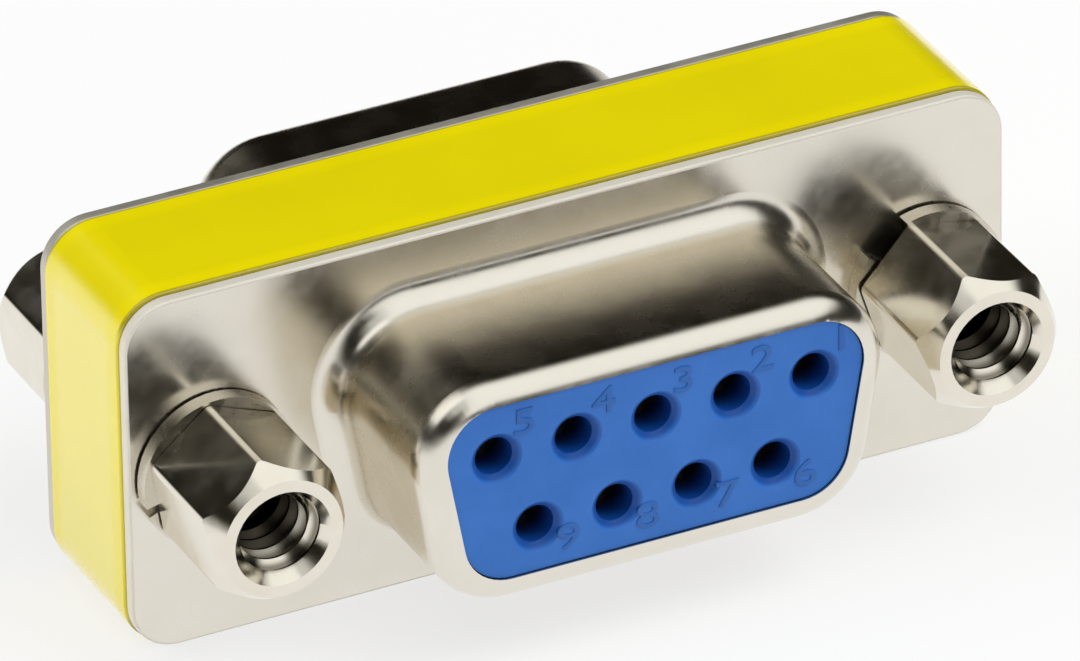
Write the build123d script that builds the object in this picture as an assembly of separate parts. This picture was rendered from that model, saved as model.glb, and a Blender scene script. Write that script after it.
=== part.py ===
"""Nine-way D-sub socket-to-socket adapter: a moulded spacer clamped between two stamped shells.

Millimetres. X runs along the adapter, -Y is the side of the front socket, +Z is up.
The origin is the middle of the adapter. The rear socket is the front one turned half a
turn about the X axis, so its wide side is down and every contact keeps its place along X.
"""

import os
from math import cos, radians, tan

from build123d import *

# Spacer body
body_depth = 5.3
body_overhang = 0.06
body_edge = 0.08
seat_clearance = 0.15
window_width = 14.6
window_height = 5.4
window_corner = 0.8

# Stamped shells
flange_end = 2.905
flange_height = 12.44
flange_corner = 1.6
flange_thickness = 0.5
flange_edge = 0.1
flange_roll = 0.15
flange_hole = 3.2
skirt_width = 16.33
skirt_height = 7.9
skirt_corner = 2.6
skirt_rise = 6.1
skirt_wall = 0.45
flank_angle = 10.0
rim_radius = 0.9
lip_inset = 0.95
lip_lift = 0.3
root_radius = 0.9

# Insulators
face_below_rim = 0.1
insulator_clearance = 0.03
seat_web = 0.7
seat_height = 10.2
seat_corner = 0.8
seat_depth = 1.2

# Contacts and their holes
contact_pitch = 2.77
row_spacing = 2.84
top_row = 5
bottom_row = 4
hole_mouth = 1.8
hole_bore = 1.3
mouth_depth = 0.22
front_wall = 1.7
barrel_diameter = 1.6
barrel_bore = 1.05
barrel_length = 5.0
barrel_bottom = 0.6
barrel_clearance = 0.05
tine_slot = 0.2
tine_length = 3.6
tail_width = 0.8
tail_thickness = 0.3
tail_bend = 0.5

# Jack sockets; the plain stud is as thick as its thread is on average
screw_spacing = 24.99
socket_across_flats = 4.5
socket_length = 4.5
socket_corner = 0.3
socket_end_radius = 2.05
socket_taper = 0.85
socket_bore = 2.85
socket_bore_depth = 3.6
countersink_radius = 1.65
countersink_depth = 0.3
drill_point = 0.6
stud_diameter = 2.4
stud_reach = 2.2
stud_tip = 0.3

# Split lock washers: the gap and the turn of each one are as they were tightened
washer_space = 0.64
washer_thickness = 0.52
washer_bore = 3.2
washer_outer = 5.3
washer_gap = 9.0
spread_gap = 36.0
split_front_left = 198.0
split_front_right = 127.0
split_rear_left = 250.0
split_rear_right = 70.0

# How far each hexagon was turned when it was tightened
turn_front_left = 39.0
turn_front_right = 47.5
turn_rear_left = 28.0
turn_rear_right = 55.0

# Tapped bushes in the spacer
bush_across_flats = 4.0
bush_turn = 30.0
bush_clearance = 0.05
thread_clearance = 0.05
bush_chamfer = 0.2

# Sizes that follow from others
flange_width = screw_spacing + 2 * flange_end
body_width = flange_width + 2 * body_overhang
body_height = flange_height + 2 * body_overhang
body_corner = flange_corner + body_overhang
pocket_across_flats = bush_across_flats + 2 * bush_clearance
seat_width = screw_spacing - pocket_across_flats - 2 * (seat_web + seat_clearance)

# Places, measured from the middle towards the front
flange_back = body_depth / 2
flange_front = flange_back + flange_thickness
rim_place = flange_front + skirt_rise
face_place = rim_place - face_below_rim
shoulder_place = rim_place - rim_radius
seat_back = flange_back - seat_depth
barrel_front = face_place - front_wall
barrel_back = barrel_front - barrel_length
washer_front = flange_front + washer_space
socket_front = washer_front + socket_length
screw_x = screw_spacing / 2
to_rear = Rot(180, 0, 0)


def front_plane(place):
    """The plane PLACE towards the front, with X to the right and Z up."""
    return Plane.XZ.offset(place)


def slab(profile, back, front):
    """A profile in X and Z made solid between two places."""
    return extrude(front_plane(back) * profile, front - back)


def turned(*points):
    """A solid turned about the Y axis from points given as radius and place."""
    outline = Polyline(*[(radius, -place) for radius, place in points], close=True)
    return revolve(make_face(outline), Axis.Y)


def edges_at(solid, place, half_width):
    """The edges in the plane PLACE that stay within HALF_WIDTH of the middle."""
    return [
        edge
        for edge in solid.edges()
        if abs(edge.bounding_box().min.Y + place) < 1e-4
        and abs(edge.bounding_box().max.Y + place) < 1e-4
        and edge.bounding_box().max.X < half_width
        and edge.bounding_box().min.X > -half_width
    ]


def d_profile(inset, lift=0):
    """The D of the skirt drawn INSET inside its outer wall, wide side up, its top LIFT higher."""
    width = skirt_width - 2 * inset
    height = skirt_height - 2 * inset
    corner = skirt_corner - inset
    slope = tan(radians(flank_angle))
    top = height / 2 + lift
    wide = width / 2 - corner + corner / cos(radians(flank_angle)) + (corner + lift) * slope
    bottom = -height / 2
    narrow = wide - (top - bottom) * slope
    outline = Polyline((-wide, top), (wide, top), (narrow, bottom), (-narrow, bottom), close=True)
    face = make_face(outline)
    return fillet(face.vertices(), corner)


def hexagon(across_flats, turn):
    return RegularPolygon(across_flats / 2, 6, major_radius=False, rotation=turn)


def contact_places():
    """X and Z of each contact number: 1 to 5 on top and 6 to 9 below, both from the right."""
    places = {}
    for index in range(top_row):
        places[index + 1] = (((top_row - 1) / 2 - index) * contact_pitch, row_spacing / 2)
    for index in range(bottom_row):
        places[top_row + index + 1] = (((bottom_row - 1) / 2 - index) * contact_pitch, -row_spacing / 2)
    return places


def make_body():
    """The moulded spacer: a seat for each insulator, a window between them, two bush pockets."""
    body = slab(RectangleRounded(body_width, body_height, body_corner), -flange_back, flange_back)
    rims = edges_at(body, flange_back, body_width) + edges_at(body, -flange_back, body_width)
    body = fillet(rims, body_edge)
    seat = RectangleRounded(
        seat_width + 2 * seat_clearance, seat_height + 2 * seat_clearance, seat_corner + seat_clearance
    )
    window = RectangleRounded(window_width, window_height, window_corner)
    pocket = hexagon(pocket_across_flats, bush_turn)
    body -= slab(seat, seat_back, flange_back)
    body -= slab(seat, -flange_back, -seat_back)
    body -= slab(window, -seat_back, seat_back)
    for x in (-screw_x, screw_x):
        body -= slab(Pos(x, 0) * pocket, -flange_back, flange_back)
    return body


def make_shell():
    """The front shell, pressed from one sheet: a flange and a drawn D skirt with an inturned lip."""
    flange = slab(RectangleRounded(flange_width, flange_height, flange_corner), flange_back, flange_front)
    flange = fillet(edges_at(flange, flange_front, flange_width), flange_edge)
    flange = fillet(edges_at(flange, flange_back, flange_width), flange_roll)
    skirt = slab(d_profile(0), flange_back, rim_place)
    skirt = fillet(edges_at(skirt, rim_place, skirt_width), rim_radius)
    shell = flange + skirt
    shell = fillet(edges_at(shell, flange_front, skirt_width / 2 + skirt_wall), root_radius)
    hollow = slab(d_profile(skirt_wall), flange_back, rim_place - skirt_wall)
    hollow = fillet(edges_at(hollow, rim_place - skirt_wall, skirt_width), rim_radius - skirt_wall)
    shell -= hollow
    shell = fillet(edges_at(shell, flange_back, skirt_width / 2), root_radius + skirt_wall)
    shell -= slab(d_profile(lip_inset, lip_lift), shoulder_place, rim_place)
    for x in (-screw_x, screw_x):
        shell -= slab(Pos(x, 0) * Circle(flange_hole / 2), flange_back, flange_front)
    return shell


def make_insulator():
    """The moulded contact block: a plate behind the flange, a D nose and nine contact holes."""
    block = slab(RectangleRounded(seat_width, seat_height, seat_corner), seat_back, flange_back)
    block += slab(d_profile(skirt_wall + insulator_clearance), flange_back, shoulder_place)
    block += slab(d_profile(lip_inset + insulator_clearance, lip_lift), shoulder_place, face_place)
    hole = turned(
        (0, seat_back),
        (barrel_diameter / 2 + barrel_clearance, seat_back),
        (barrel_diameter / 2 + barrel_clearance, barrel_front),
        (hole_bore / 2, barrel_front),
        (hole_bore / 2, face_place - mouth_depth),
        (hole_mouth / 2, face_place),
        (0, face_place),
    )
    for x, z in contact_places().values():
        block -= Pos(x, 0, z) * hole
    return block


def make_barrel():
    """One receptacle of a contact, with two spring tines towards the front."""
    barrel = slab(Circle(barrel_diameter / 2), barrel_back, barrel_front)
    barrel -= slab(Circle(barrel_bore / 2), barrel_back + barrel_bottom, barrel_front)
    barrel -= slab(Rectangle(2 * barrel_diameter, tine_slot), barrel_front - tine_length, barrel_front)
    return barrel


def make_contact(x, z):
    """A one-piece contact: a receptacle at each end and a flat tail that changes rows between them."""
    path = FilletPolyline((-barrel_back, z), (0, z), (0, -z), (barrel_back, -z), radius=tail_bend)
    strip = trace(path, line_width=tail_thickness)
    tail = extrude(Plane.YZ * strip, tail_width / 2, both=True)
    front = Pos(0, 0, z) * make_barrel()
    rear = to_rear * front
    return Pos(x, 0, 0) * (front + rear + tail)


def make_socket(turn):
    """A hexagonal jack socket: tapered end, countersunk bore, and the stud behind it."""
    corner_radius = socket_across_flats / 2 / cos(radians(30))
    outline = hexagon(socket_across_flats, turn)
    prism = slab(fillet(outline.vertices(), socket_corner), washer_front, socket_front)
    envelope = turned(
        (0, washer_front),
        (corner_radius, washer_front),
        (corner_radius, socket_front - socket_taper),
        (socket_end_radius, socket_front),
        (0, socket_front),
    )
    stud_back = flange_back - stud_reach
    stud = turned(
        (0, stud_back),
        (stud_diameter / 2 - stud_tip, stud_back),
        (stud_diameter / 2, stud_back + stud_tip),
        (stud_diameter / 2, washer_front),
        (0, washer_front),
    )
    bore_bottom = socket_front - socket_bore_depth
    bore = turned(
        (0, bore_bottom - drill_point),
        (socket_bore / 2, bore_bottom),
        (socket_bore / 2, socket_front - countersink_depth),
        (countersink_radius, socket_front),
        (0, socket_front),
    )
    return (prism & envelope) + stud - bore


def make_washer(split, gap):
    """A split lock washer coiled from square wire; its ends stay a little apart when it is tight."""
    turns = (360 - gap) / 360
    lift = washer_space - washer_thickness
    path = Helix(lift / turns, lift, (washer_bore + washer_outer) / 4)
    section = Plane(path @ 0, x_dir=(1, 0, 0), z_dir=path % 0)
    wire = Rectangle((washer_outer - washer_bore) / 2, washer_thickness)
    ring = sweep(section * wire, path=path, is_frenet=True)
    return front_plane(flange_front + washer_thickness / 2) * Rot(0, 0, split + gap / 2) * ring


def make_bush():
    """A tapped hexagonal bush; the studs of the front and the rear jack socket meet in it."""
    bore_radius = stud_diameter / 2 + thread_clearance
    bush = slab(hexagon(bush_across_flats, bush_turn), -flange_back, flange_back)
    bore = turned(
        (0, -flange_back),
        (bore_radius + bush_chamfer, -flange_back),
        (bore_radius, -flange_back + bush_chamfer),
        (bore_radius, flange_back - bush_chamfer),
        (bore_radius + bush_chamfer, flange_back),
        (0, flange_back),
    )
    return bush - bore


def main():
    shell = make_shell()
    insulator = make_insulator()
    left = Pos(-screw_x, 0, 0)
    right = Pos(screw_x, 0, 0)
    pieces = {
        "body": make_body(),
        "front_shell": shell,
        "rear_shell": to_rear * shell,
        "front_insulator": insulator,
        "rear_insulator": to_rear * insulator,
        "jack_socket_front_left": left * make_socket(turn_front_left),
        "jack_socket_front_right": right * make_socket(turn_front_right),
        "jack_socket_rear_left": left * to_rear * make_socket(turn_rear_left),
        "jack_socket_rear_right": right * to_rear * make_socket(turn_rear_right),
        "lock_washer_front_left": left * make_washer(split_front_left, washer_gap),
        "lock_washer_front_right": right * make_washer(split_front_right, spread_gap),
        "lock_washer_rear_left": left * to_rear * make_washer(split_rear_left, washer_gap),
        "lock_washer_rear_right": right * to_rear * make_washer(split_rear_right, washer_gap),
        "threaded_bush_left": left * make_bush(),
        "threaded_bush_right": right * make_bush(),
    }
    for number, (x, z) in contact_places().items():
        pieces[f"contact_{number}"] = make_contact(x, z)
    os.makedirs("parts", exist_ok=True)
    for node, piece in pieces.items():
        export_step(piece, f"parts/{node}.step")


main()
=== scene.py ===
"""The looks of the nine-way D-sub adapter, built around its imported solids.

Metres, +Z up, -Y is the front.
"""

import math

import bpy
from mathutils import Euler, Matrix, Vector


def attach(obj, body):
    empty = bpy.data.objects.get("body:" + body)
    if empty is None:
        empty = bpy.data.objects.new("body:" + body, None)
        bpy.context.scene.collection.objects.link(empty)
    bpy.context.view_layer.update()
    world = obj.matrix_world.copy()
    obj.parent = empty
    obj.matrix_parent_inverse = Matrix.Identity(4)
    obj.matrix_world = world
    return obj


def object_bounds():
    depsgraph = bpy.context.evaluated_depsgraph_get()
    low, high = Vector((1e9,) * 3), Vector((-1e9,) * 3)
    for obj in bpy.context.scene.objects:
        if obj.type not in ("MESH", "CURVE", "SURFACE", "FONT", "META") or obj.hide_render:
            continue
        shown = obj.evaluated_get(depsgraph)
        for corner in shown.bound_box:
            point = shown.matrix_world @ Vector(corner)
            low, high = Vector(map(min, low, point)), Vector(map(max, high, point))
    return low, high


MM = 0.001

# Places that the solids are built to
CONTACT_PITCH = 2.77 * MM
ROW_SPACING = 2.84 * MM
TOP_ROW = 5
BOTTOM_ROW = 4
FACE_PLACE = 9.15 * MM
SCREW_X = 12.495 * MM
BODY_FRONT = 2.65 * MM
FLANGE_FRONT = 3.15 * MM
FLANGE_HALF_WIDTH = 15.4 * MM
FLANGE_HALF_HEIGHT = 6.22 * MM
FLANGE_CORNER = 1.6 * MM
SOCKET_FRONT = 8.29 * MM
SOCKET_BORE_RADIUS = 1.425 * MM
SOCKET_BORE_DEPTH = 3.6 * MM
COUNTERSINK_RADIUS = 1.65 * MM
COUNTERSINK_DEPTH = 0.3 * MM

# 4-40 thread in the mouths of the jack sockets
THREAD_START = 0.35 * MM
THREAD_PITCH = 0.635 * MM
THREAD_TURNS = 5
THREAD_CREST_RADIUS = 1.14 * MM
THREAD_BURIED = 0.03 * MM
THREAD_CREST_WIDTH = 0.09 * MM
THREAD_ROOT_WIDTH = 0.56 * MM
THREAD_STEPS = 48
THREAD_SIDES = 4
THREAD_SMOOTHING = math.radians(40)
CONE_STEPS = 96
CONE_SHARE = 0.8

# Contact numbers moulded beside the holes
NUMBER_SIZE = 1.3 * MM
NUMBER_WIDENING = 1.35
NUMBER_BOLDNESS = 0.012 * MM
NUMBER_RISE = 0.04 * MM
NUMBER_BURIED = 0.12 * MM
NUMBER_EDGE = 0.02 * MM
NUMBER_SMOOTHING = math.radians(30)
TOP_NUMBER_OFFSET = (0.98 * MM, 1.05 * MM)
BOTTOM_NUMBER_OFFSET = (1.06 * MM, -0.69 * MM)
WELD_DISTANCE = 0.0005 * MM

# Nickel plate: dark and light tone of each kind, the tones of its duller places, and the painted
# shade and painted reflection that darken its thread, bores and skirt top
SHEET_TONES = (0.75, 0.71, 0.625), (0.80, 0.76, 0.68)
TURNED_TONES = (0.765, 0.72, 0.62), (0.82, 0.78, 0.685)
SPRING_TONES = (0.6, 0.56, 0.47), (0.72, 0.68, 0.6)
DRAWN_TONE = (0.66, 0.60, 0.475)
# painted reflection: the dark room mirrored on the skirt's top, darkest at the rim
SKIRT_PAINTED_REFLECTION_TONE = (0.26, 0.23, 0.18)
SHEARED_TONE = (0.84, 0.80, 0.70)
# painted shade in the valleys of the thread
THREAD_VALLEY_PAINTED_SHADE = (0.13, 0.11, 0.08)
# painted shade down the bores of the jack sockets
DEEP_BORE_PAINTED_SHADE = (0.07, 0.06, 0.045)
DRAWN_ROUGHNESS = 0.03
SHEARED_ROUGHNESS = 0.35
SHEARED_SCUFFING = 0.6
BORE_ROUGHNESS = 0.2
# how strongly the painted shade fills the thread valleys
THREAD_VALLEY_SHADE_AMOUNT = 0.85

# Plastic, contacts and bushes
YELLOW_TONES = (0.84, 0.71, 0.0), (0.89, 0.76, 0.0)
# painted shade along the front and rear rims of the spacer's top and bottom
YELLOW_RIM_PAINTED_SHADE = (0.42, 0.35, 0.0)
YELLOW_IOR = 1.7
YELLOW_GLOSS = 0.8
YELLOW_GLOSS_LOST_AT_RIM = 0.5
YELLOW_GLOSS_ROUGHNESS = 0.2
BLUE_TONES = (0.024, 0.153, 0.56), (0.036, 0.186, 0.63)
# painted shade at the mouths of the contact holes, and nearly black painted shade deeper down
BLUE_HOLE_MOUTH_PAINTED_SHADE = (0.005, 0.078, 0.37)
BLUE_DEEP_HOLE_PAINTED_SHADE = (0.002, 0.006, 0.03)
BLUE_SHINE = 0.4
# painted shade: the numerals' blue is this much darker all over
NUMBER_PAINTED_SHADE_LIGHTNESS = 0.78
# the contacts' plating tones, darkened as painted shade down in the holes
CONTACT_PAINTED_SHADE_TONES = (0.42, 0.31, 0.14), (0.55, 0.42, 0.2)
BRASS_TONES = (0.62, 0.45, 0.17), (0.74, 0.56, 0.25)

# Where a surface changes: the place where it starts to, and the place where it has changed
ROOT_BEND_END = (FLANGE_FRONT + 0.5 * MM, FLANGE_FRONT + 1.1 * MM)
RIM_BEND_END = (FLANGE_FRONT + 5.6 * MM, FLANGE_FRONT + 5.1 * MM)
# where the painted dark reflection on the skirt's top starts and is full
SKIRT_PAINTED_REFLECTION = (FLANGE_FRONT + 0.6 * MM, FLANGE_FRONT + 3.8 * MM)
SKIRT_TOP = (3.2 * MM, 3.8 * MM)
SHEARED_EDGE = (FLANGE_CORNER - 0.12 * MM, FLANGE_CORNER - 0.04 * MM)
FRONT_FLANGE = (0.0, -FLANGE_FRONT / 2)
BORE_WALL = (1.6 * MM, 1.5 * MM)
# where the painted shade down the bores starts and is full
BORE_PAINTED_SHADE = (0.5 * MM, 2.1 * MM)
THREAD_FLANK = (1.17 * MM, 1.36 * MM)
PAST_COUNTERSINK = (COUNTERSINK_DEPTH, COUNTERSINK_DEPTH + 0.2 * MM)
BODY_NEAR_RIM = (BODY_FRONT - 0.9 * MM, BODY_FRONT - 0.4 * MM)
# where the painted shade along the spacer's rims lies
BODY_RIM_PAINTED_SHADE = (BODY_FRONT - 0.16 * MM, BODY_FRONT - 0.06 * MM)
BODY_TOP = (4.9 * MM, 5.6 * MM)
# where the painted shade in the contact holes starts, at the mouth and further down
HOLE_MOUTH = (0.01 * MM, 0.13 * MM)
HOLE_PAINTED_SHADE = (0.4 * MM, 1.5 * MM)

# Noise: the values that give the darkest and the lightest tone, and the height of its relief
NOISE_DARK = 0.3
NOISE_LIGHT = 0.7
RELIEF = 0.02 * MM

# Studio. Softboxes: across X and along Y, each as (place, half softness) at both ends; strength
FRONT_SOFTBOX = ((-0.3, 0.25), (1.4, 0.5)), ((-4.5, 2.0), (0.3, 0.35)), 1.1
BACK_SOFTBOX = ((-1.6, 0.3), (-0.15, 0.15)), ((-0.3, 0.2), (1.05, 0.15)), 1.2
PALE_CEILING = ((-0.8, 0.3), (0.1, 0.2)), ((-1.1, 0.4), (0.0, 0.2)), 0.65
LOWEST_CEILING = 0.01
GLOW_HEIGHT = (0.22, 0.02)
GLOW_SIDE = (0.1, -0.2)
GLOW_STRENGTH = 0.5
ROOM_LIGHT = 0.015
ROOM_TINT = (1.0, 0.87, 0.64)
LAMP_TINT = (0.985, 0.995, 0.98)
TINT_CHANGE = (0.02, 0.4)
WHITE = (1.0, 1.0, 1.0)
FLOOR_SIZE = 4.0
FLOOR_TONE = (0.88, 0.88, 0.88)
FLOOR_ROUGHNESS = 0.9
FLOOR_WHITENESS = 0.72
MIRRORED_WHITENESS = 0.9
LAMP_SIZE = 0.3
LAMPS = {"front_lamp": ((0.25, -0.15, 0.36), 0.95), "left_lamp": ((-0.42, 0.12, 0.2), 0.9)}

# The photograph's viewpoint
CAMERA_PLACE = (-0.18149291, -0.37532097, 0.24410877)
CAMERA_TURN = (1.04062222, 0.01422998, -0.45976749)
CAMERA_LENS = 507.912
CAMERA_SENSOR = 36.0
CAMERA_REACH = (0.01, 20.0)

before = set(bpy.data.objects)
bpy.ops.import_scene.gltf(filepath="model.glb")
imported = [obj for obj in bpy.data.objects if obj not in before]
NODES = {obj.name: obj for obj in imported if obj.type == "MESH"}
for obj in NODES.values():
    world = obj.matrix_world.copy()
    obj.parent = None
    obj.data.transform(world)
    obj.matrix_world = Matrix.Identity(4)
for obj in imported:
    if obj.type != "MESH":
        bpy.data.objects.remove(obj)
cad_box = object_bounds()


class Value:
    """A number on a socket, with the operators that the shader maths needs."""

    def __init__(self, shader, socket):
        self.shader = shader
        self.socket = socket

    def __add__(self, other):
        return self.shader.math("ADD", self, other)

    def __sub__(self, other):
        return self.shader.math("SUBTRACT", self, other)

    def __rsub__(self, other):
        return self.shader.math("SUBTRACT", other, self)

    def __mul__(self, other):
        return self.shader.math("MULTIPLY", self, other)

    def __truediv__(self, other):
        return self.shader.math("DIVIDE", self, other)


class Shader:
    """One material's node tree."""

    def __init__(self, name):
        self.material = bpy.data.materials.new(name)
        self.material.use_nodes = True
        self.tree = self.material.node_tree
        self.bsdf = self.tree.nodes["Principled BSDF"]
        self.places = self.node("ShaderNodeTexCoord")

    def put(self, socket, value):
        """Sets a socket to a number or colour, or links a value to it."""
        if isinstance(value, Value):
            value = value.socket
        if isinstance(value, bpy.types.NodeSocket):
            self.tree.links.new(value, socket)
        elif isinstance(value, tuple):
            socket.default_value = (*value, 1)
        elif value is not None:
            socket.default_value = value

    def node(self, kind, settings=None, **sockets):
        made = self.tree.nodes.new(kind)
        for name, value in (settings or {}).items():
            setattr(made, name, value)
        for name, value in sockets.items():
            self.put(made.inputs[name.replace("_", " ")], value)
        return made

    def math(self, operation, first, second=None):
        made = self.node("ShaderNodeMath", {"operation": operation})
        self.put(made.inputs[0], first)
        self.put(made.inputs[1], second)
        return Value(self, made.outputs[0])

    def length(self, first, second):
        """The distance that two offsets at right angles make."""
        return self.math("SQRT", first * first + second * second)

    def at(self):
        """Object coordinates, which are the row frame's metres."""
        return self.places.outputs["Object"]

    def axes(self):
        split = self.node("ShaderNodeSeparateXYZ", Vector=self.at())
        return [Value(self, split.outputs[axis]) for axis in "XYZ"]

    def sizes(self):
        """How far along each axis, on either side of the middle."""
        return [self.math("ABSOLUTE", axis) for axis in self.axes()]

    def noise(self, scale, detail, roughness=0.5):
        made = self.node(
            "ShaderNodeTexNoise",
            Vector=self.at(),
            Scale=scale,
            Detail=detail,
            Roughness=roughness,
        )
        return Value(self, made.outputs["Fac"])

    def tones(self, noise, dark, light):
        """A colour between DARK and LIGHT where the noise is so."""
        made = self.node("ShaderNodeValToRGB", Fac=noise)
        stops = ((NOISE_DARK, dark), (NOISE_LIGHT, light))
        for element, (place, colour) in zip(made.color_ramp.elements, stops):
            element.position = place
            element.color = (*colour, 1)
        return made.outputs["Color"]

    def number(self, value, low, high, to_low=0.0, to_high=1.0):
        """A number that goes softly from TO_LOW to TO_HIGH while VALUE goes from LOW to HIGH."""
        made = self.node(
            "ShaderNodeMapRange",
            {"interpolation_type": "SMOOTHSTEP"},
            Value=value,
            From_Min=low,
            From_Max=high,
            To_Min=to_low,
            To_Max=to_high,
        )
        return Value(self, made.outputs["Result"])

    def spread(self, noise, low, high):
        """A number between LOW and HIGH that follows the noise."""
        return self.number(noise, NOISE_DARK, NOISE_LIGHT, low, high)

    def mix(self, factor, first, second):
        made = self.node("ShaderNodeMix", {"data_type": "RGBA"})
        self.put(made.inputs["Factor"], factor)
        self.put(made.inputs[6], first)
        self.put(made.inputs[7], second)
        return made.outputs[2]

    def bump(self, height, strength):
        made = self.node("ShaderNodeBump", Height=height, Strength=strength, Distance=RELIEF)
        return made.outputs["Normal"]

    def surface(self, **sockets):
        for name, value in sockets.items():
            self.put(self.bsdf.inputs[name.replace("_", " ")], value)
        return self.material


def nickel_sheet():
    """Bright nickel plate on sheet steel: duller where it is drawn, with a painted dark reflection
    on the skirt's top towards the rim, scuffed on the sheared edge.
    """
    shader = Shader("nickel_plated_sheet")
    across, along, up = shader.sizes()
    mottle = shader.noise(700, 4, 0.55)
    drawn = shader.number(along, *ROOT_BEND_END) * shader.number(along, *RIM_BEND_END)
    past_end = shader.math("MAXIMUM", across - (FLANGE_HALF_WIDTH - FLANGE_CORNER), 0.0)
    past_side = shader.math("MAXIMUM", up - (FLANGE_HALF_HEIGHT - FLANGE_CORNER), 0.0)
    sheared = shader.number(shader.length(past_end, past_side), *SHEARED_EDGE)
    pale = sheared * shader.number(shader.axes()[1], *FRONT_FLANGE)
    # painted dark reflection of the room on the skirt's top, growing towards the rim
    painted_reflection_toward_rim = shader.number(along, *SKIRT_PAINTED_REFLECTION) * shader.number(up, *SKIRT_TOP)
    drawn_tone_and_painted_reflection = shader.mix(painted_reflection_toward_rim, DRAWN_TONE, SKIRT_PAINTED_REFLECTION_TONE)
    tone = shader.mix(drawn, shader.tones(mottle, *SHEET_TONES), drawn_tone_and_painted_reflection)
    rough = shader.spread(mottle, 0.19, 0.28) + drawn * DRAWN_ROUGHNESS
    return shader.surface(
        Base_Color=shader.mix(pale, tone, SHEARED_TONE),
        Metallic=1 - pale * SHEARED_SCUFFING,
        Roughness=rough + sheared * SHEARED_ROUGHNESS,
        Normal=shader.bump(mottle, 0.05),
    )


def nickel_turned():
    """Bright nickel plate on turned steel, with painted shade in the valleys of the thread and down
    the bores.
    """
    shader = Shader("nickel_plated_turned")
    across, along, up = shader.sizes()
    mottle = shader.noise(900, 3)
    from_axis = shader.length(across - SCREW_X, up)
    depth = SOCKET_FRONT - along
    inside = shader.number(from_axis, *BORE_WALL)
    # painted shade down the bores, where the plate is also rougher
    bore_shade = inside * shader.number(depth, *BORE_PAINTED_SHADE)
    # painted shade in the valleys of the thread, past the countersink
    valley_shade = inside * shader.number(from_axis, *THREAD_FLANK)
    valley_shade = valley_shade * shader.number(depth, *PAST_COUNTERSINK)
    tone = shader.tones(mottle, *TURNED_TONES)
    tone = shader.mix(valley_shade * THREAD_VALLEY_SHADE_AMOUNT, tone, THREAD_VALLEY_PAINTED_SHADE)
    return shader.surface(
        Base_Color=shader.mix(bore_shade, tone, DEEP_BORE_PAINTED_SHADE),
        Metallic=1.0,
        Roughness=shader.spread(mottle, 0.12, 0.2) + bore_shade * BORE_ROUGHNESS,
        Normal=shader.bump(mottle, 0.08),
    )


def spring_steel():
    """Nickel-plated spring steel of the lock washers, a little duller and warmer."""
    shader = Shader("nickel_plated_spring")
    mottle = shader.noise(1500, 3)
    return shader.surface(
        Base_Color=shader.tones(mottle, *SPRING_TONES),
        Metallic=1.0,
        Roughness=shader.spread(mottle, 0.2, 0.32),
        Normal=shader.bump(mottle, 0.1),
    )


def yellow_plastic():
    """Moulded yellow of the spacer: glossy, with a faint flow pattern and painted shade along its
    rims on top.
    """
    shader = Shader("yellow_moulding")
    _, along, up = shader.sizes()
    flow = shader.noise(160, 3)
    grain = shader.noise(6500, 2)
    near_rim = shader.number(along, *BODY_NEAR_RIM)
    # painted shade along the front and rear rims of the top and bottom
    painted_rim_shade = shader.number(along, *BODY_RIM_PAINTED_SHADE) * shader.number(up, *BODY_TOP)
    return shader.surface(
        Base_Color=shader.mix(painted_rim_shade, shader.tones(flow, *YELLOW_TONES), YELLOW_RIM_PAINTED_SHADE),
        Roughness=shader.spread(grain, 0.2, 0.26),
        Normal=shader.bump(grain, 0.05),
        IOR=YELLOW_IOR,
        Coat_Weight=YELLOW_GLOSS - near_rim * YELLOW_GLOSS_LOST_AT_RIM,
        Coat_IOR=YELLOW_IOR,
        Coat_Roughness=YELLOW_GLOSS_ROUGHNESS,
    )


def blue_plastic(name, painted_shade_lightness=1.0):
    """Moulded blue of the contact blocks: matt, slightly blotchy, with painted shade at the hole
    mouths and nearly black painted shade down the holes; a lightness below 1 darkens it all as
    painted shade.
    """
    shader = Shader(name)
    blotch = shader.noise(420, 4, 0.6)
    grain = shader.noise(9000, 2)
    # a lightness below 1 is painted shade over the whole moulding
    dark, light = [tuple(part * painted_shade_lightness for part in tone) for tone in BLUE_TONES]
    tone = shader.tones(blotch, dark, light)
    depth = FACE_PLACE - shader.sizes()[1]
    # painted shade at the hole mouths, then nearly black painted shade down the holes
    tone = shader.mix(shader.number(depth, *HOLE_MOUTH), tone, BLUE_HOLE_MOUTH_PAINTED_SHADE)
    tone = shader.mix(shader.number(depth, *HOLE_PAINTED_SHADE), tone, BLUE_DEEP_HOLE_PAINTED_SHADE)
    return shader.surface(
        Base_Color=tone,
        Roughness=shader.spread(grain, 0.42, 0.54),
        Normal=shader.bump(grain, 0.15),
        Specular_IOR_Level=BLUE_SHINE,
    )


def contact_metal():
    """Plated contacts down in the holes, their plating tones darkened as painted shade."""
    shader = Shader("plated_contact")
    mottle = shader.noise(1200, 2)
    tone = shader.tones(mottle, *CONTACT_PAINTED_SHADE_TONES)
    rough = shader.spread(mottle, 0.2, 0.3)
    return shader.surface(Base_Color=tone, Metallic=1.0, Roughness=rough)


def bush_metal():
    """Turned brass of the bushes inside the spacer."""
    shader = Shader("turned_brass")
    mottle = shader.noise(900, 2)
    tone = shader.tones(mottle, *BRASS_TONES)
    rough = shader.spread(mottle, 0.25, 0.38)
    return shader.surface(Base_Color=tone, Metallic=1.0, Roughness=rough)


def finish_node(node, material):
    piece = NODES[node]
    piece.data.materials.clear()
    piece.data.materials.append(material)


SHEET = nickel_sheet()
TURNED = nickel_turned()
SPRING = spring_steel()
YELLOW = yellow_plastic()
BLUE = blue_plastic("blue_moulding")
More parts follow.
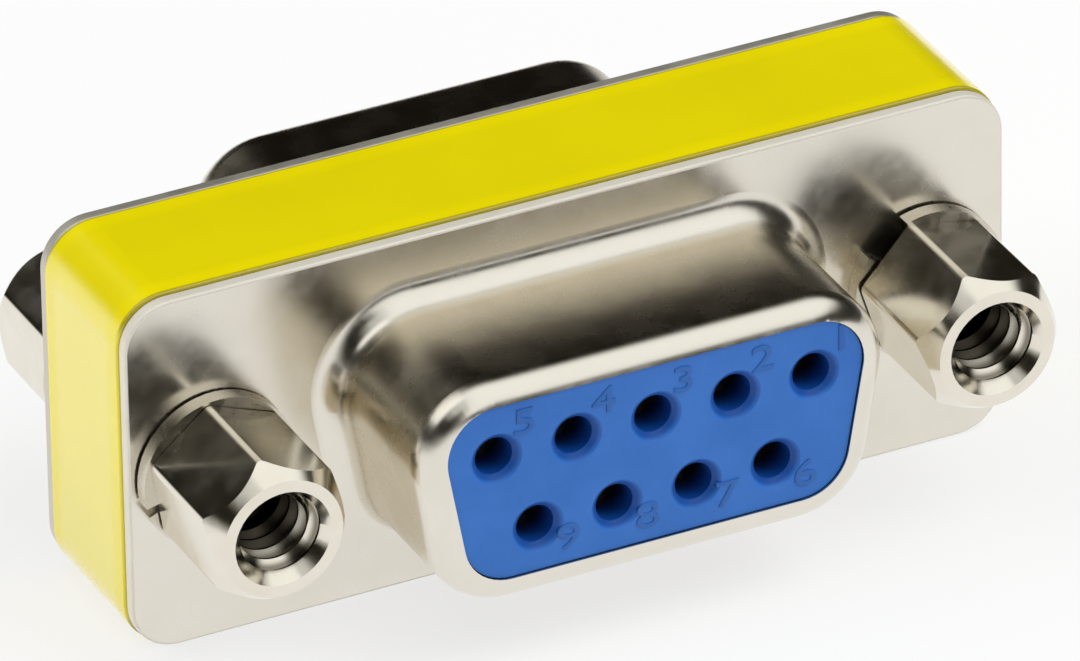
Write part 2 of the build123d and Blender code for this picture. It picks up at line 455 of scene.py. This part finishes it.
# the numerals' blue, darkened all over as painted shade
BLUE_NUMBERS_PAINTED_SHADE = blue_plastic("blue_moulding_numbers_painted_shade", NUMBER_PAINTED_SHADE_LIGHTNESS)
CONTACT = contact_metal()
BRASS = bush_metal()

for name in NODES:
    if name == "body":
        finish_node(name, YELLOW)
    elif name.endswith("shell"):
        finish_node(name, SHEET)
    elif name.endswith("insulator"):
        finish_node(name, BLUE)
    elif name.startswith("contact"):
        finish_node(name, CONTACT)
    elif name.startswith("threaded_bush"):
        finish_node(name, BRASS)
    elif name.startswith("lock_washer"):
        finish_node(name, SPRING)
    else:
        finish_node(name, TURNED)


def copied(piece, name, matrix):
    """A copy with its own mesh, its place put into the mesh."""
    copy = piece.copy()
    copy.data = piece.data.copy()
    copy.name = name
    copy.data.transform(matrix)
    bpy.context.scene.collection.objects.link(copy)
    return copy


def close_mesh(hole_sides=0):
    """Welds the active piece, fills its holes of up to HOLE_SIDES and turns its faces outward."""
    bpy.ops.object.mode_set(mode="EDIT")
    bpy.ops.mesh.select_all(action="SELECT")
    bpy.ops.mesh.remove_doubles(threshold=WELD_DISTANCE)
    if hole_sides:
        bpy.ops.mesh.fill_holes(sides=hole_sides)
        bpy.ops.mesh.select_all(action="SELECT")
    bpy.ops.mesh.normals_make_consistent(inside=False)
    bpy.ops.object.mode_set(mode="OBJECT")


def make_thread():
    """The thread ridge of one mouth, along +Z from its inner end, cut back by the countersink."""
    root_radius = SOCKET_BORE_RADIUS + THREAD_BURIED
    middle = (root_radius + THREAD_CREST_RADIUS) / 2
    bpy.ops.object.select_all(action="DESELECT")
    bpy.ops.mesh.primitive_plane_add(size=1, location=(0, 0, 0), rotation=(math.radians(90), 0, 0))
    bpy.ops.object.transform_apply(location=False, rotation=True, scale=False)
    thread = bpy.context.object
    thread.name = "thread"
    bpy.ops.object.mode_set(mode="EDIT")
    bpy.ops.mesh.select_all(action="SELECT")
    bpy.ops.transform.resize(
        value=(root_radius - THREAD_CREST_RADIUS, 1, THREAD_ROOT_WIDTH), center_override=(0, 0, 0)
    )
    bpy.ops.transform.translate(value=(middle, 0, 0))
    bpy.ops.mesh.select_all(action="DESELECT")
    bpy.ops.object.mode_set(mode="OBJECT")
    for vertex in thread.data.vertices:
        vertex.select = vertex.co.x < middle
    bpy.ops.object.mode_set(mode="EDIT")
    bpy.ops.transform.resize(
        value=(1, 1, THREAD_CREST_WIDTH / THREAD_ROOT_WIDTH), center_override=(middle, 0, 0)
    )
    bpy.ops.mesh.select_all(action="SELECT")
    bpy.ops.mesh.delete(type="ONLY_FACE")
    bpy.ops.object.mode_set(mode="OBJECT")
    screw = thread.modifiers.new("turns", "SCREW")
    screw.screw_offset = THREAD_PITCH
    screw.iterations = THREAD_TURNS
    screw.steps = screw.render_steps = THREAD_STEPS
    bpy.ops.object.modifier_apply(modifier="turns")
    close_mesh(THREAD_SIDES)
    cut_countersink(thread)
    bpy.ops.object.shade_smooth_by_angle(angle=THREAD_SMOOTHING)
    thread.data.materials.append(TURNED)
    return thread


def cut_countersink(thread):
    """Takes the cone of the countersink, and all that would stand past the mouth, off the ridge."""
    slope = (COUNTERSINK_RADIUS - SOCKET_BORE_RADIUS) / COUNTERSINK_DEPTH
    mouth = SOCKET_BORE_DEPTH - THREAD_START
    reach = COUNTERSINK_RADIUS / slope * CONE_SHARE
    past = THREAD_PITCH
    bpy.ops.object.select_all(action="DESELECT")
    bpy.ops.mesh.primitive_cone_add(
        vertices=CONE_STEPS,
        radius1=COUNTERSINK_RADIUS - slope * reach,
        radius2=COUNTERSINK_RADIUS + slope * past,
        depth=reach + past,
        location=(0, 0, mouth + (past - reach) / 2),
    )
    cone = bpy.context.object
    cut = thread.modifiers.new("countersink", "BOOLEAN")
    cut.operation = "DIFFERENCE"
    cut.object = cone
    bpy.ops.object.select_all(action="DESELECT")
    thread.select_set(True)
    bpy.context.view_layer.objects.active = thread
    bpy.ops.object.modifier_apply(modifier="countersink")
    bpy.data.objects.remove(cone)


def thread_sockets():
    """A thread in each of the four mouths; the rear ones are the front ones turned over."""
    thread = make_thread()
    inner_end = SOCKET_FRONT - SOCKET_BORE_DEPTH + THREAD_START
    to_front = Matrix.Translation((0, -inner_end, 0)) @ Matrix.Rotation(math.radians(90), 4, "X")
    to_rear = Matrix.Rotation(math.pi, 4, "X") @ to_front
    for side, x in (("left", -SCREW_X), ("right", SCREW_X)):
        for end, turn in (("front", to_front), ("rear", to_rear)):
            place = Matrix.Translation((x, 0, 0)) @ turn
            piece = copied(thread, f"socket_thread_{end}_{side}", place)
            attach(piece, "root")
    bpy.data.objects.remove(thread)


def contact_places():
    """X and Z of each contact number, with the offset of its numeral."""
    for index in range(TOP_ROW):
        x = ((TOP_ROW - 1) / 2 - index) * CONTACT_PITCH
        yield index + 1, x, ROW_SPACING / 2, TOP_NUMBER_OFFSET
    for index in range(BOTTOM_ROW):
        x = ((BOTTOM_ROW - 1) / 2 - index) * CONTACT_PITCH
        yield TOP_ROW + index + 1, x, -ROW_SPACING / 2, BOTTOM_NUMBER_OFFSET


def make_numeral(number, x, z):
    """One numeral standing a little out of the front face."""
    bpy.ops.object.select_all(action="DESELECT")
    bpy.ops.object.text_add(location=(0, 0, 0))
    text = bpy.context.object
    text.data.body = str(number)
    text.data.size = NUMBER_SIZE
    text.data.align_x = "CENTER"
    text.data.align_y = "CENTER"
    text.data.extrude = (NUMBER_RISE + NUMBER_BURIED) / 2 - NUMBER_EDGE
    text.data.bevel_depth = NUMBER_EDGE
    text.data.bevel_resolution = 2
    text.data.offset = NUMBER_BOLDNESS - NUMBER_EDGE
    bpy.ops.object.convert(target="MESH")
    close_mesh()
    numeral = bpy.context.object
    middle = FACE_PLACE + (NUMBER_RISE - NUMBER_BURIED) / 2
    widened = Matrix.Diagonal((NUMBER_WIDENING, 1, 1, 1))
    upright = Matrix.Rotation(math.radians(90), 4, "X") @ widened
    numeral.data.transform(Matrix.Translation((x, -middle, z)) @ upright)
    return numeral


def number_contacts():
    """The contact numbers on both faces; the rear ones are the front ones turned over."""
    numerals = [make_numeral(number, x + dx, z + dz) for number, x, z, (dx, dz) in contact_places()]
    bpy.ops.object.select_all(action="DESELECT")
    for numeral in numerals:
        numeral.select_set(True)
    bpy.context.view_layer.objects.active = numerals[0]
    bpy.ops.object.join()
    front = bpy.context.object
    front.name = "front_contact_numbers"
    front.data.materials.clear()
    front.data.materials.append(BLUE_NUMBERS_PAINTED_SHADE)
    bpy.ops.object.shade_smooth_by_angle(angle=NUMBER_SMOOTHING)
    rear = copied(front, "rear_contact_numbers", Matrix.Rotation(math.pi, 4, "X"))
    for piece in (front, rear):
        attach(piece, "root")


def make_floor():
    """A pale floor, nearly white to the camera and in the plating, where the shadow still shows."""
    bpy.ops.object.select_all(action="DESELECT")
    bpy.ops.mesh.primitive_plane_add(size=FLOOR_SIZE, location=(0, 0, cad_box[0][2]))
    floor = bpy.context.object
    floor.name = "floor"
    shader = Shader("pale_floor")
    shader.surface(Base_Color=FLOOR_TONE, Roughness=FLOOR_ROUGHNESS, Specular_IOR_Level=0.0)
    white = shader.node("ShaderNodeEmission", Color=WHITE, Strength=1.0)
    rays = shader.node("ShaderNodeLightPath")
    seen = Value(shader, rays.outputs["Is Camera Ray"])
    mirrored = Value(shader, rays.outputs["Is Glossy Ray"])
    whiteness = seen * FLOOR_WHITENESS + mirrored * MIRRORED_WHITENESS
    blend = shader.node("ShaderNodeMixShader", Fac=whiteness)
    shader.put(blend.inputs[1], shader.bsdf.outputs["BSDF"])
    shader.put(blend.inputs[2], white.outputs["Emission"])
    shader.put(shader.tree.nodes["Material Output"].inputs["Surface"], blend.outputs["Shader"])
    floor.data.materials.append(shader.material)


class Sky(Shader):
    """The world's node tree, with the same helpers as a material's."""

    def __init__(self, world):
        world.use_nodes = True
        self.tree = world.node_tree
        self.background = self.tree.nodes["Background"]
        self.places = self.node("ShaderNodeTexCoord")

    def at(self):
        """The direction looked in."""
        return self.places.outputs["Generated"]

    def softbox(self, over, across, along, strength):
        """A soft-edged light in the ceiling plane, 1 above the object."""
        light = strength
        for place, ((low, low_soft), (high, high_soft)) in zip(over, (across, along)):
            light = self.number(place, low - low_soft, low + low_soft) * light
            light = self.number(place, high + high_soft, high - high_soft) * light
        return light


def make_world():
    """The studio: a long softbox over the front, a small one at the back left, a pale ceiling."""
    world = bpy.data.worlds.new("studio")
    bpy.context.scene.world = world
    sky = Sky(world)
    x, y, z = sky.axes()
    height = sky.math("MAXIMUM", z, LOWEST_CEILING)
    over = (x / height, y / height)
    front = sky.softbox(over, *FRONT_SOFTBOX)
    back = sky.softbox(over, *BACK_SOFTBOX)
    ceiling = sky.softbox(over, *PALE_CEILING)
    glow = sky.number(z, *GLOW_HEIGHT) * sky.number(x, *GLOW_SIDE) * GLOW_STRENGTH
    lights = sky.math("MAXIMUM", sky.math("MAXIMUM", front, back), ceiling + glow) + ROOM_LIGHT
    seen = Value(sky, sky.node("ShaderNodeLightPath").outputs["Is Camera Ray"])
    tint = sky.mix(sky.number(lights, *TINT_CHANGE), ROOM_TINT, LAMP_TINT)
    sky.put(sky.background.inputs["Color"], sky.mix(seen, tint, WHITE))
    sky.put(sky.background.inputs["Strength"], lights * (1 - seen) + seen)


def make_lamp(name, place, power):
    """A soft lamp that lights without being mirrored in the plating."""
    data = bpy.data.lights.new(name, "AREA")
    data.shape = "SQUARE"
    data.size = LAMP_SIZE
    data.energy = power
    lamp = bpy.data.objects.new(name, data)
    bpy.context.scene.collection.objects.link(lamp)
    lamp.location = place
    lamp.rotation_euler = (-lamp.location).to_track_quat("-Z", "Y").to_euler()
    lamp.visible_glossy = False


def make_camera():
    """The photograph's viewpoint."""
    data = bpy.data.cameras.new("photo_view")
    data.sensor_fit = "HORIZONTAL"
    data.sensor_width = CAMERA_SENSOR
    data.lens = CAMERA_LENS
    data.clip_start, data.clip_end = CAMERA_REACH
    camera = bpy.data.objects.new("photo_view", data)
    bpy.context.scene.collection.objects.link(camera)
    camera.location = CAMERA_PLACE
    camera.rotation_euler = Euler(CAMERA_TURN, "XYZ")
    bpy.context.scene.camera = camera


thread_sockets()
number_contacts()
make_floor()
make_world()
for name, (place, power) in LAMPS.items():
    make_lamp(name, place, power)
make_camera()
bpy.context.scene.view_settings.view_transform = "Standard"
